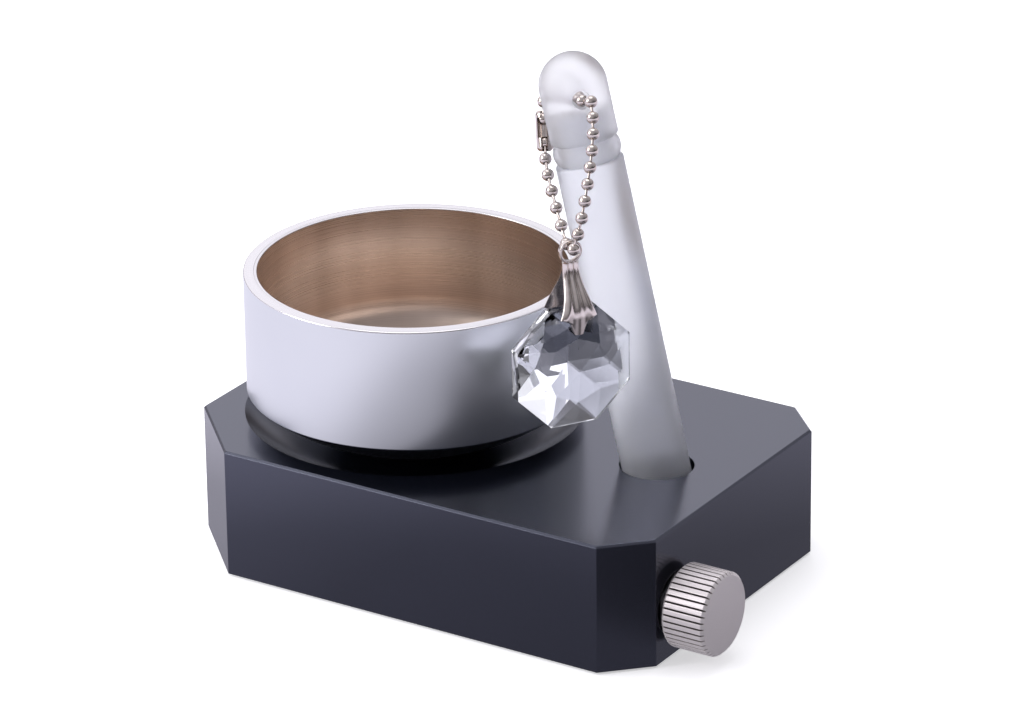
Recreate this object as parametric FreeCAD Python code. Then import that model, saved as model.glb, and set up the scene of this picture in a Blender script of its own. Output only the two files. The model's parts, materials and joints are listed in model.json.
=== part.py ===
import FreeCAD, Part
import math
import os

# Desk demagnetizer: a machined block with a coil under a lift-out bowl, a leaning wand in a
# socket, and a ball chain with a crystal pendant through the wand's cap.
# Millimetres. Origin: middle of the resting face. X runs to the knob end, -Y is the front.

Vector = FreeCAD.Vector
upward = Vector(0, 0, 1)
downward = Vector(0, 0, -1)
alongX = Vector(1, 0, 0)
alongY = Vector(0, 1, 0)

# Block
blockLength = 107.0
blockWidth = 74.0
blockTop = 26.2
bowlEndChamfer = 16.0
knobEndChamfer = 8.0
edgeBreak = 0.4
wallThickness = 4.0
plateThickness = 2.0
plateLedge = 1.5
padThickness = 1.0
padRecess = 0.5
pocketCeiling = 19.0
slipFit = 0.25
touchGap = 0.05

# Bottom screws and their posts
postRadius = 4.4
postInset = 8.5
bowlEndPostInset = 16.5
bowlEndPostSide = 11.0
controlPostInset = 19.5
boardPostGap = 2.9
screwRadius = 1.5
screwHeadRadius = 2.8
screwLength = 9.0
postHoleDepth = 11.0

# Bowl and the dish that it stands in
bowlX = -18.1
bowlRadius = 32.6
bowlRimZ = 55.3
bowlUndersideRadius = 51.9
bowlFootRadius = 13.9725
bowlWall = 2.0
linerWall = 0.6
linerCorner = 9.0
rimBreak = 0.35
dishRimRadius = 33.1
dishFloorRadius = 17.0
seatPadThickness = 0.5
seatPadBorder = 0.0275
dishDepth = 5.0
dishSag = 1.6

# Coil under the dish
coreRadius = 6.0
bobbinWall = 1.2
windingRadius = 23.5
flangeRadius = 25.0
coilRoof = 0.4

# Wand and its socket
socketX = 36.3
wandLean = 13.6
socketRadius = 7.0
socketDepth = 16.0
socketWall = 2.5
wandRadius = 6.45
wandShift = 0.25
wandLength = 97.6
capLength = 16.8
ringHeight = 4.1
ringEndRadius = 5.75
neckRadius = 4.4
neckInCap = 5.5
neckFit = 0.08
endRound = 0.5
chainHoleDrop = 8.1
chainHoleRadius = 1.75
chainHoleTurn = -46.0

# Ball chain: counts of beads, the sleeve, and where the strands bend. The bends are chosen
# by hand, from the hole's front mouth, its rear mouth and the lowest bead of the rear strand.
beadRadius = 1.2
beadSides = 12
linkRadius = 0.35
holeBeads = 5
holeBeadStep = 3.3
frontBeads = 10
rearBeads = 6
loopBeads = 3
frontBends = [Vector(2.8, -1.35, 0.75), Vector(5.0, -4.25, -3.45), Vector(6.9, -9.25, -11.55),
              Vector(7.2, -12.2, -18.2)]
loopBends = [Vector(-3.4, -3.15, -2.3), Vector(-3.0, -0.15, -0.9)]
rearBends = [Vector(-2.6, 2.3, 2.6), Vector(-7.9, 7.4, 7.1), Vector(-10.8, 10.6, 9.3)]
sleeveTopBend = Vector(-3.0, -3.95, -3.8)
sleeveBottomBend = Vector(-1.2, -6.25, -11.0)
sleeveRadius = 1.6
sleeveWall = 0.3
sleeveRounding = 1.0
sleeveMouth = 1.0
sleeveBeadInset = 1.65

# Pendant: its place below the chain, the way it faces, the bail and the crystal
pendantX = 28.0
pendantY = -17.0
pendantTurn = -32.4
eyeZ = 74.0
eyeRadius = 1.8
eyeWall = 0.5
eyeLength = 1.1
eyeDrop = 0.9
crystalAcross = 23.0
crystalDepth = 8.0
crystalEdge = 2.6
crystalDrop = 22.7
starRadius = 6.4
starDepth = 6.2
pinDrop = 14.1
pinRadius = 0.6
pinFit = 0.08
prongThickness = 0.6
prongFlare = 3.45
prongNip = 3.15
pinGap = 0.4
leafSections = 7
leafSpread = 0.35
leafTopDrop = 2.4
leafTopWidth = 3.3
leafWidth = 7.4
leafCornerDrop = 11.9
leafFlareDrop = 12.1
leafShoulder = 3.6
leafShoulderDrop = 0.9
leafTipWidth = 1.9
leafTipDrop = 15.2
leafRib = 0.28
neckHeight = 1.4

# Knob and the control behind it
knobRadius = 8.1
knobLength = 9.1
knobGap = 1.6
knobTeeth = 40
knobGrooveDepth = 0.45
knobGrooveWidth = 0.8
knobBevel = 0.6
knobInset = 14.8
knobZ = 10.9
controlRadius = 5.0
controlDepth = 8.0
bushingRadius = 3.5
shaftRadius = 3.0
shaftFlat = 0.7
shaftFit = 0.05
shaftReach = 6.4
nutAcross = 10.0
nutThickness = 1.7
washerThickness = 0.4
nutPocketRadius = 6.2
nutPocketDepth = 2.2
setScrewRadius = 1.25

# Driver board, its parts and the power socket in the rear wall
boardX = 17.2
boardWidth = 19.0
boardLength = 42.0
boardThickness = 1.6
spacerHeight = 3.4
spacerAcross = 4.0
boardScrewInset = 3.0
boardScrewRadius = 1.0
boardScrewHead = 1.9
capacitorRadius = 3.0
capacitorHeight = 8.0
capacitorGap = 2.0
switchLength = 6.0
switchHeight = 2.0
inletWidth = 9.0
inletHeight = 3.3
inletLength = 8.0
inletShell = 0.35
inletSetback = 0.6
inletClearance = 0.2
tongueSetback = 1.0

# Heights that follow
blockBottom = padRecess
plateBottom = padThickness
plateTop = plateBottom + plateThickness
dishFloorZ = blockTop - dishDepth
bowlFootZ = dishFloorZ + seatPadThickness
knobY = -blockWidth / 2 + knobInset
wallFaceX = blockLength / 2
wallInnerX = wallFaceX - wallThickness
boardTop = plateTop + spacerHeight + boardThickness
boardRearY = blockWidth / 2 - wallThickness - slipFit
boardMiddleY = boardRearY - boardLength / 2
wandPlace = FreeCAD.Placement(
    Vector(socketX, 0, blockTop), FreeCAD.Rotation(alongY, -wandLean))
pendantPlace = FreeCAD.Placement(
    Vector(pendantX, pendantY, eyeZ), FreeCAD.Rotation(upward, pendantTurn))


def rod(radius, length, base, direction=upward):
    """A plain cylinder from its base centre."""
    return Part.makeCylinder(radius, length, base, direction)


def tube(outer, inner, length, base, direction=upward):
    body = rod(outer, length, base, direction)
    return body.cut(rod(inner, length, base, direction))


def box(x1, x2, y1, y2, z1, z2):
    return Part.makeBox(x2 - x1, y2 - y1, z2 - z1, Vector(x1, y1, z1))


def turned(outline):
    """Revolves a closed (radius, height) outline about Z."""
    points = [Vector(radius, 0, height) for radius, height in outline]
    wire = Part.makePolygon(points + points[:1])
    return Part.Face(wire).revolve(Vector(0, 0, 0), upward, 360)


def prism(points, direction):
    wire = Part.makePolygon(points + points[:1])
    return Part.Face(wire).extrude(direction)


def block(inset, bottom, top):
    """The block's eight-sided outline, drawn in by an even inset."""
    halfLength = blockLength / 2 - inset
    halfWidth = blockWidth / 2 - inset
    cornerLoss = inset * (2 - math.sqrt(2))
    bowlCut = bowlEndChamfer - cornerLoss
    knobCut = knobEndChamfer - cornerLoss
    corners = [
        (-halfLength + bowlCut, -halfWidth),
        (halfLength - knobCut, -halfWidth),
        (halfLength, -halfWidth + knobCut),
        (halfLength, halfWidth - knobCut),
        (halfLength - knobCut, halfWidth),
        (-halfLength + bowlCut, halfWidth),
        (-halfLength, halfWidth - bowlCut),
        (-halfLength, -halfWidth + bowlCut),
    ]
    points = [Vector(x, y, bottom) for x, y in corners]
    return prism(points, upward * (top - bottom))


def hexBar(across, length, base, direction=upward):
    """A six-sided bar from its base centre."""
    cornerRadius = across / math.sqrt(3)
    points = []
    for corner in range(6):
        angle = math.radians(60 * corner)
        points.append(Vector(cornerRadius * math.cos(angle), cornerRadius * math.sin(angle), 0))
    bar = prism(points, upward * length)
    bar.Placement = FreeCAD.Placement(base, FreeCAD.Rotation(upward, direction))
    return bar


def postPlaces():
    """One post near each corner: by the bowl's end, beside the control and beside the board."""
    bowlEndX = bowlEndPostInset - blockLength / 2
    controlX = blockLength / 2 - controlPostInset
    boardEndX = boardX + boardWidth / 2 + boardPostGap + postRadius
    bowlEndY = blockWidth / 2 - bowlEndPostSide
    knobEndY = blockWidth / 2 - postInset
    return [(bowlEndX, -bowlEndY), (controlX, -knobEndY), (bowlEndX, bowlEndY),
            (boardEndX, knobEndY)]


def edgesAt(shape, height):
    """Edges that lie wholly in one level plane."""
    found = []
    for edge in shape.Edges:
        bounds = edge.BoundBox
        if abs(bounds.ZMin - height) < 0.001 and abs(bounds.ZMax - height) < 0.001:
            found.append(edge)
    return found


def dishCutter():
    """The dish: a flat floor with an arc up to its rim."""
    floor = Vector(dishFloorRadius, 0, dishFloorZ)
    rim = Vector(dishRimRadius, 0, blockTop)
    chord = rim - floor
    outward = Vector(chord.z, 0, -chord.x).normalize()
    middle = floor + chord / 2 + outward * dishSag
    arc = Part.Arc(floor, middle, rim).toShape()
    centre = Vector(0, 0, dishFloorZ)
    above = blockTop + dishDepth
    lines = Part.makePolygon(
        [rim, Vector(dishRimRadius, 0, above), Vector(0, 0, above), centre, floor])
    wire = Part.Wire([arc] + lines.Edges)
    cutter = Part.Face(wire).revolve(Vector(0, 0, 0), upward, 360)
    cutter.translate(Vector(bowlX, 0, 0))
    return cutter


def inletSolid(grow, length, startY):
    """A flat-sided oval bar along Y, the outline of the power socket."""
    half = inletHeight / 2 + grow
    centreZ = boardTop + inletHeight / 2
    reach = (inletWidth - inletHeight) / 2
    left = rod(half, length, Vector(boardX - reach, startY, centreZ), alongY)
    right = rod(half, length, Vector(boardX + reach, startY, centreZ), alongY)
    middle = box(boardX - reach, boardX + reach, startY, startY + length,
                 centreZ - half, centreZ + half)
    return left.fuse(right).fuse(middle).removeSplitter()


def housing():
    body = block(0, blockBottom, blockTop)
    body = body.makeChamfer(edgeBreak, edgesAt(body, blockTop))
    body = body.cut(block(wallThickness, blockBottom, pocketCeiling))
    body = body.cut(block(wallThickness - plateLedge, blockBottom, plateTop))
    for x, y in postPlaces():
        body = body.fuse(rod(postRadius, pocketCeiling - plateTop, Vector(x, y, plateTop)))
    bossDepth = socketDepth + socketWall
    boss = rod(socketRadius + socketWall, bossDepth, Vector(0, 0, -bossDepth))
    boss.Placement = wandPlace
    body = body.fuse(boss.common(block(edgeBreak, plateTop, blockTop)))
    socket = rod(socketRadius, socketDepth * 2, Vector(0, 0, -socketDepth))
    socket.Placement = wandPlace
    cutters = [socket, dishCutter()]
    for x, y in postPlaces():
        cutters.append(rod(screwRadius + touchGap, postHoleDepth, Vector(x, y, plateTop)))
    axis = Vector(wallInnerX, knobY, knobZ)
    cutters.append(rod(bushingRadius + touchGap, wallThickness, axis, alongX))
    pocket = Vector(wallFaceX - nutPocketDepth, knobY, knobZ)
    cutters.append(rod(nutPocketRadius, nutPocketDepth, pocket, alongX))
    cutters.append(inletSolid(inletClearance, wallThickness, blockWidth / 2 - wallThickness))
    return body.cut(cutters).removeSplitter()


def bottomPlate():
    plate = block(wallThickness - plateLedge + slipFit, plateBottom, plateTop)
    holes = []
    for x, y in postPlaces():
        holes.append(rod(screwRadius + touchGap, plateThickness, Vector(x, y, plateBottom)))
        holes.append(screwHead(x, y, touchGap))
    return plate.cut(holes)


def screwHead(x, y, grow):
    """A countersunk head, widest at the plate's underside."""
    height = screwHeadRadius - screwRadius
    return Part.makeCone(screwHeadRadius + grow, screwRadius + grow, height,
                         Vector(x, y, plateBottom))


def bottomScrews():
    screws = []
    for x, y in postPlaces():
        shank = rod(screwRadius, screwLength, Vector(x, y, plateBottom))
        screw = shank.fuse(screwHead(x, y, 0)).removeSplitter()
        drive = rod(screwRadius / 2, screwRadius / 2, Vector(x, y, plateBottom))
        screws.append(screw.cut(drive))
    return Part.makeCompound(screws)


def restingPad():
    return block(wallThickness - plateLedge + slipFit, 0, padThickness)


def cup(inset, corner=0):
    """The bowl's outline as a filled solid, drawn in by an even inset, its corner rounded."""
    radius = bowlRadius - inset
    sphere = bowlUndersideRadius - inset
    centreZ = bowlFootZ + math.sqrt(bowlUndersideRadius ** 2 - bowlFootRadius ** 2)
    footZ = bowlFootZ + inset
    footRadius = math.sqrt(sphere ** 2 - (centreZ - footZ) ** 2)
    # The corner's centre lies inside both the wall and the sphere by the corner's radius.
    reach = radius - corner
    cornerZ = centreZ - math.sqrt((sphere - corner) ** 2 - reach ** 2)
    slope = math.atan2(centreZ - cornerZ, reach)
    bend = Vector(reach, 0, cornerZ)

    def onSphere(angle):
        return Vector(sphere * math.cos(angle), 0, centreZ - sphere * math.sin(angle))

    footAngle = math.atan2(centreZ - footZ, footRadius)
    foot = onSphere(footAngle)
    joint = onSphere(slope)
    wallFoot = Vector(radius, 0, cornerZ)
    edges = [Part.Arc(foot, onSphere((footAngle + slope) / 2), joint).toShape()]
    if corner:
        half = slope / 2
        middle = bend + Vector(math.cos(half), 0, -math.sin(half)) * corner
        edges.append(Part.Arc(joint, middle, wallFoot).toShape())
    edges += Part.makePolygon([
        wallFoot,
        Vector(radius, 0, bowlRimZ),
        Vector(0, 0, bowlRimZ),
        Vector(0, 0, footZ),
        foot,
    ]).Edges
    solid = Part.Face(Part.Wire(edges)).revolve(Vector(0, 0, 0), upward, 360)
    solid.translate(Vector(bowlX, 0, 0))
    return solid


def bowlShell():
    shell = cup(0).cut(cup(bowlWall, linerCorner))
    return shell.makeChamfer(rimBreak, edgesAt(shell, bowlRimZ)[:1])


def bowlLiner():
    return cup(bowlWall + touchGap, linerCorner).cut(cup(bowlWall + linerWall, linerCorner))


def seatPad():
    return rod(bowlFootRadius + seatPadBorder, seatPadThickness, Vector(bowlX, 0, dishFloorZ))


def coilBobbin():
    hub = coreRadius + touchGap
    top = pocketCeiling - coilRoof
    outline = [
        (hub, plateTop),
        (flangeRadius, plateTop),
        (flangeRadius, plateTop + bobbinWall),
        (hub + bobbinWall, plateTop + bobbinWall),
        (hub + bobbinWall, top - bobbinWall),
        (flangeRadius, top - bobbinWall),
        (flangeRadius, top),
        (hub, top),
    ]
    bobbin = turned(outline)
    bobbin.translate(Vector(bowlX, 0, 0))
    return bobbin


def coilWinding():
    inner = coreRadius + bobbinWall + 2 * touchGap
    bottom = plateTop + bobbinWall + touchGap
    top = pocketCeiling - coilRoof - bobbinWall - touchGap
    return tube(windingRadius, inner, top - bottom, Vector(bowlX, 0, bottom))


def coilCore():
    return rod(coreRadius, pocketCeiling - coilRoof - plateTop, Vector(bowlX, 0, plateTop))


def boardCorners():
    corners = []
    for sideX in (-1, 1):
        for sideY in (-1, 1):
            x = boardX + sideX * (boardWidth / 2 - boardScrewInset)
            y = boardMiddleY + sideY * (boardLength / 2 - boardScrewInset)
            corners.append((x, y))
    return corners


def driverBoard():
    bottom = plateTop + spacerHeight
    board = box(boardX - boardWidth / 2, boardX + boardWidth / 2,
                boardRearY - boardLength, boardRearY, bottom, boardTop)
    hole = boardScrewRadius + touchGap
    holes = [rod(hole, boardThickness, Vector(x, y, bottom)) for x, y in boardCorners()]
    return board.cut(holes)


def boardSpacers():
    spacers = []
    for x, y in boardCorners():
        base = Vector(x, y, plateTop)
        hole = rod(boardScrewRadius + touchGap, spacerHeight, base)
        spacers.append(hexBar(spacerAcross, spacerHeight, base).cut(hole))
    return Part.makeCompound(spacers)


def boardScrews():
    screws = []
    depth = boardThickness + spacerHeight - touchGap
    for x, y in boardCorners():
        shank = rod(boardScrewRadius, depth, Vector(x, y, boardTop - depth))
        head = rod(boardScrewHead, boardScrewRadius, Vector(x, y, boardTop))
        screws.append(shank.fuse(head))
    return Part.makeCompound(screws)


def capacitors():
    pitch = 2 * capacitorRadius + capacitorGap
    firstY = boardMiddleY - pitch + capacitorRadius
    return Part.makeCompound([
        rod(capacitorRadius, capacitorHeight, Vector(boardX, firstY + count * pitch, boardTop))
        for count in range(3)])


def powerSwitches():
    """Two flat switching transistors between the capacitors and the front edge."""
    bodies = []
    startY = boardRearY - boardLength + 2 * boardScrewInset + slipFit
    for side in (-1, 1):
        x = boardX + side * boardWidth / 4
        bodies.append(box(x - switchLength / 2, x + switchLength / 2, startY,
                          startY + switchLength, boardTop, boardTop + switchHeight))
    return Part.makeCompound(bodies)


def powerInlet():
    """The power socket: an oval metal shell with a contact tongue in it."""
    frontY = blockWidth / 2 - inletSetback
    startY = frontY - inletLength
    shell = inletSolid(0, inletLength, startY)
    mouth = inletSolid(-inletShell, inletLength - inletShell, startY + inletShell)
    shell = shell.cut(mouth)
    centreZ = boardTop + inletHeight / 2
    tongueHalf = inletWidth / 2 - inletHeight / 2
    tongue = box(boardX - tongueHalf, boardX + tongueHalf, startY + inletShell,
                 frontY - tongueSetback, centreZ - inletShell, centreZ + inletShell)
    return shell.fuse(tongue)


def controlBody():
    base = Vector(wallInnerX - controlDepth, knobY, knobZ)
    body = rod(controlRadius, controlDepth, base, alongX)
    bore = rod(shaftRadius + shaftFit, controlDepth, base, alongX)
    return body.cut(bore)


def controlBushing():
    length = wallThickness - touchGap
    return tube(bushingRadius, shaftRadius + shaftFit, length,
                Vector(wallInnerX, knobY, knobZ), alongX)


def controlWasher():
    base = Vector(wallFaceX - nutPocketDepth, knobY, knobZ)
    return tube(nutAcross / 2, bushingRadius + touchGap, washerThickness, base, alongX)


def controlNut():
    start = wallFaceX - nutPocketDepth + washerThickness
    base = Vector(start, knobY, knobZ)
    nut = hexBar(nutAcross, nutThickness, base, alongX)
    return nut.cut(rod(bushingRadius + touchGap, nutThickness, base, alongX))


def shaftSolid(grow, start, length):
    """The control's shaft, with a flat along one side."""
    radius = shaftRadius + grow
    shaft = rod(radius, length, Vector(start, knobY, knobZ), alongX)
    flatZ = knobZ - shaftRadius + shaftFlat - grow
    chip = box(start, start + length, knobY - radius, knobY + radius, flatZ - radius, flatZ)
    return shaft.cut(chip)


def controlShaft():
    start = wallInnerX - controlDepth + touchGap
    end = wallFaceX + knobGap + shaftReach
    return shaftSolid(0, start, end - start)


def knob():
    """A straight-knurled knob, bevelled at its face, bored for the flatted shaft."""
    start = wallFaceX + knobGap
    outline = [
        (0, 0),
        (knobRadius - knobBevel, 0),
        (knobRadius, knobBevel),
        (knobRadius, knobLength - knobBevel),
        (knobRadius - knobBevel, knobLength),
        (0, knobLength),
    ]
    body = turned(outline)
    foot = Vector(knobRadius - knobGrooveDepth, 0, 0)
    # A vee as wide as the groove at the knob's surface, carried on past it.
    mouth = Vector(knobRadius + knobGrooveDepth, knobGrooveWidth, 0)
    groove = prism([foot, mouth, Vector(mouth.x, -mouth.y, 0)], upward * knobLength)
    grooves = []
    for tooth in range(knobTeeth):
        cutter = groove.copy()
        cutter.rotate(Vector(0, 0, 0), upward, 360 * tooth / knobTeeth)
        grooves.append(cutter)
    body = body.cut(grooves)
    body.Placement = FreeCAD.Placement(
        Vector(start, knobY, knobZ), FreeCAD.Rotation(upward, alongX))
    bore = shaftSolid(shaftFit, start, shaftReach + touchGap)
    hole = rod(setScrewRadius + touchGap, knobRadius,
               Vector(start + knobLength / 2, knobY, knobZ), downward)
    return body.cut([bore, hole])


def knobScrew():
    reach = shaftRadius - shaftFlat + shaftFit
    length = knobRadius - knobGrooveDepth - reach - endRound
    base = Vector(wallFaceX + knobGap + knobLength / 2, knobY, knobZ - reach)
    return rod(setScrewRadius, length, base, downward)


def ontoWand(shape):
    shape.Placement = wandPlace.multiply(FreeCAD.Placement(
        Vector(-wandShift, 0, -socketDepth), FreeCAD.Rotation())).multiply(shape.Placement)
    return shape


def wandRod():
    """The frosted rod, with the turned neck that carries the ring and the cap."""
    shoulder = wandLength - capLength - ringHeight
    neckTop = wandLength - capLength + neckInCap
    outline = [
        (0, 0),
        (wandRadius - endRound, 0),
        (wandRadius, endRound),
        (wandRadius, shoulder - endRound),
        (wandRadius - endRound, shoulder),
        (neckRadius, shoulder),
        (neckRadius, neckTop - endRound),
        (neckRadius - endRound, neckTop),
        (0, neckTop),
    ]
    return ontoWand(turned(outline))


def wandRing():
    """A collar with a bulged outside."""
    bottom = wandLength - capLength - ringHeight
    top = bottom + ringHeight
    inner = neckRadius + neckFit
    bulge = Part.Arc(
        Vector(ringEndRadius, 0, top),
        Vector(wandRadius, 0, (bottom + top) / 2),
        Vector(ringEndRadius, 0, bottom)).toShape()
    lines = Part.makePolygon([
        Vector(ringEndRadius, 0, bottom),
        Vector(inner, 0, bottom),
        Vector(inner, 0, top),
        Vector(ringEndRadius, 0, top),
    ])
    face = Part.Face(Part.Wire([bulge] + lines.Edges))
    return ontoWand(face.revolve(Vector(0, 0, 0), upward, 360))


def chainHoleCentre():
    return wandPlace.multVec(Vector(-wandShift, 0, wandLength - chainHoleDrop - socketDepth))


def chainHoleWay():
    turn = math.radians(chainHoleTurn)
    across = Vector(math.cos(turn), math.sin(turn), 0)
    return wandPlace.Rotation.multVec(across)


def wandCap():
    """A domed cap over the rod's neck, with a cross hole for the chain."""
    bottom = wandLength - capLength
    domeStart = wandLength - wandRadius
    cap = rod(wandRadius, domeStart - bottom, Vector(0, 0, bottom))
    dome = Part.makeSphere(wandRadius, Vector(0, 0, domeStart))
    cap = cap.fuse(dome.common(
        rod(wandRadius, wandRadius, Vector(0, 0, domeStart)))).removeSplitter()
    cap = cap.makeChamfer(endRound, edgesAt(cap, bottom))
    bore = rod(neckRadius + neckFit, neckInCap + neckFit, Vector(0, 0, bottom))
    cap = ontoWand(cap.cut(bore))
    start = chainHoleCentre() - chainHoleWay() * (2 * wandRadius)
    return cap.cut(rod(chainHoleRadius, 4 * wandRadius, start, chainHoleWay()))


def alongRoute(points, count):
    """Evenly spaced places on a smooth curve through hand-chosen points."""
    curve = Part.BSplineCurve()
    curve.interpolate(points)
    return curve.toShape().discretize(count)


def eyeWay():
    turn = math.radians(pendantTurn)
    return Vector(math.cos(turn), math.sin(turn), 0)


def hangPoint():
    """Where the chain's lowest link carries the bail."""
    return Vector(pendantX, pendantY, eyeZ + eyeDrop)


def holePlaces():
    """Beads in the cap's cross hole, the first and last of them in its mouths."""
    centre = chainHoleCentre()
    way = chainHoleWay()
    half = (holeBeads - 1) / 2
    return [centre + way * (holeBeadStep * (number - half)) for number in range(holeBeads)]


def lowBead(side):
    """The lowest bead of a strand, half a step to one side of the bail's eye."""
    return hangPoint() + eyeWay() * (side * (beadRadius + linkRadius))


def frontPlaces():
    mouth = holePlaces()[-1]
    route = [mouth + bend for bend in frontBends] + [lowBead(1)]
    return alongRoute(route, frontBeads)


def sleeveTop():
    return holePlaces()[0] + sleeveTopBend


def sleeveBottom():
    return holePlaces()[0] + sleeveBottomBend


def sleeveWay():
    return (sleeveBottom() - sleeveTop()).normalize()


def rearPlaces():
    low = lowBead(-1)
    inside = sleeveBottom() - sleeveWay() * sleeveBeadInset
    route = [low] + [low + bend for bend in rearBends] + [inside]
    return alongRoute(route, rearBeads + 1)


def loopPlaces():
    """From the sleeve's upper bead round the back of the cap to its rear mouth."""
    mouth = holePlaces()[0]
    inside = sleeveTop() + sleeveWay() * sleeveBeadInset
    route = [inside] + [mouth + bend for bend in loopBends] + [mouth]
    return alongRoute(route, loopBeads + 1)


def bead():
    """A bead cut to twelve sides, ten-sided from pole to pole."""
    rings = []
    for degrees in (-72, -36, 0, 36, 72):
        angle = math.radians(degrees)
        ring = beadRadius * math.cos(angle)
        corners = []
        for side in range(beadSides + 1):
            turn = 2 * math.pi * side / beadSides
            corners.append(Vector(ring * math.cos(turn), ring * math.sin(turn),
                                  beadRadius * math.sin(angle)))
        rings.append(Part.makePolygon(corners))
    return Part.makeLoft(rings, True, True)


def beads(places):
    made = []
    for place in places:
        one = bead()
        one.translate(place)
        made.append(one)
    return Part.makeCompound(made)


def links(places):
    """Short wires from each bead's surface to the next bead's."""
    wires = []
    for first, second in zip(places, places[1:]):
        way = (second - first).normalize()
        length = first.distanceToPoint(second) - 2 * beadRadius
        wires.append(hexBar(2 * linkRadius, length, first + way * beadRadius, way))
    return Part.makeCompound(wires)


def barrel(inset, length):
    """A round bar with rounded ends, drawn in by an even inset."""
    radius = sleeveRadius - inset
    rounding = sleeveRounding - inset
    top = length - inset
    lean = rounding * math.sqrt(0.5)
    ends = []
    for height, side in ((inset + rounding, -1), (top - rounding, 1)):
        flat = Vector(radius - rounding, 0, height + side * rounding)
        middle = Vector(radius - rounding + lean, 0, height + side * lean)
        ends.append(Part.Arc(flat, middle, Vector(radius, 0, height)).toShape())
    lines = [
        Part.makeLine(Vector(radius, 0, inset + rounding), Vector(radius, 0, top - rounding)),
        Part.makeLine(Vector(radius - rounding, 0, top), Vector(0, 0, top)),
        Part.makeLine(Vector(0, 0, top), Vector(0, 0, inset)),
        Part.makeLine(Vector(0, 0, inset), Vector(radius - rounding, 0, inset)),
    ]
    wire = Part.Wire(Part.__sortEdges__(ends + lines))
    return Part.Face(wire).revolve(Vector(0, 0, 0), upward, 360)


def chainSleeve():
    """The snap sleeve that joins the chain's two end beads, slit along its front."""
    length = sleeveTop().distanceToPoint(sleeveBottom())
    slotHalf = linkRadius + slipFit
    slot = box(0, sleeveRadius, -slotHalf, slotHalf, 0, length)
    mouths = rod(sleeveMouth, length, Vector(0, 0, 0))
    windowHalf = beadRadius + touchGap
    window = box(0, sleeveRadius, -windowHalf, windowHalf,
                 length / 2 - 2 * windowHalf, length / 2 + windowHalf)
    body = barrel(0, length).cut([barrel(sleeveWall, length), slot, mouths, window])
    # The slit faces the strand that leaves the sleeve's lower end.
    last, inside = rearPlaces()[-2:]
    turn = FreeCAD.Rotation(last - inside, Vector(), sleeveWay(), "ZXY")
    body.Placement = FreeCAD.Placement(sleeveTop(), turn)
    return body


def leafWay(drop):
    """How far out a leaf's inner face stands at a drop below the eye."""
    if drop > leafFlareDrop:
        share = (drop - leafFlareDrop) / (leafTipDrop - leafFlareDrop)
        return prongFlare - (prongFlare - prongNip) * share
    share = (drop - leafTopDrop) / (leafFlareDrop - leafTopDrop)
    return leafSpread + (prongFlare - leafSpread) * (1 - math.cos(math.pi * share)) / 2


def leafSection(side, drop):
    """A leaf's level section: a flat inner face and three ribs outside."""
    share = min(1, (drop - leafTopDrop) / (leafCornerDrop - leafTopDrop))
    width = leafTopWidth + (leafWidth - leafTopWidth) * share ** 2
    inner = leafWay(drop)
    points = [Vector(side * inner, width / 2, -drop), Vector(side * inner, -width / 2, -drop)]
    ribs = ((-0.5, 0.5), (-0.36, 1), (-0.2, 0), (0, 1), (0.2, 0), (0.36, 1), (0.5, 0.5))
    for place, height in ribs:
        outer = inner + prongThickness + leafRib * height
        points.append(Vector(side * outer, place * width, -drop))
    return Part.makePolygon(points + points[:1])


def leaf(side):
    """One leaf of the bail: a flared, ribbed sheet that ends in two corners and a tip."""
    step = (leafTipDrop - leafTopDrop) / leafSections
    sections = [leafSection(side, leafTopDrop + step * number)
                for number in range(leafSections + 1)]
    sheet = Part.makeLoft(sections, True, True)
    far = leafWidth
    half = [
        (far, 0),
        (far, -leafCornerDrop),
        (leafShoulder / 2, -leafCornerDrop - leafShoulderDrop),
        (leafTipWidth / 2, -leafTipDrop),
    ]
    outline = [Vector(-far, y, z) for y, z in half]
    outline += [Vector(-far, -y, z) for y, z in reversed(half)]
    return sheet.common(prism(outline, alongX * (2 * far)))


def bail():
    """The bail: an eye, two leaves and the two pegs that hold the crystal."""
    eye = tube(eyeRadius + eyeWall, eyeRadius, eyeLength, Vector(-eyeLength / 2, 0, 0), alongX)
    neckTop = -(eyeRadius + eyeWall / 2)
    neck = leafSpread + prongThickness
    parts = [box(-neck, neck, -leafTopWidth / 2, leafTopWidth / 2, neckTop - neckHeight, neckTop)
             .cut(rod(eyeRadius, 2 * neck, Vector(-neck, 0, 0), alongX))]
    for side in (-1, 1):
        parts.append(leaf(side))
        reach = prongNip + prongThickness
        base = Vector(side * reach, 0, -pinDrop)
        parts.append(rod(pinRadius, reach - pinGap, base, alongX * -side))
    body = eye.multiFuse(parts).removeSplitter()
    body.Placement = pendantPlace
    return body


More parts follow.
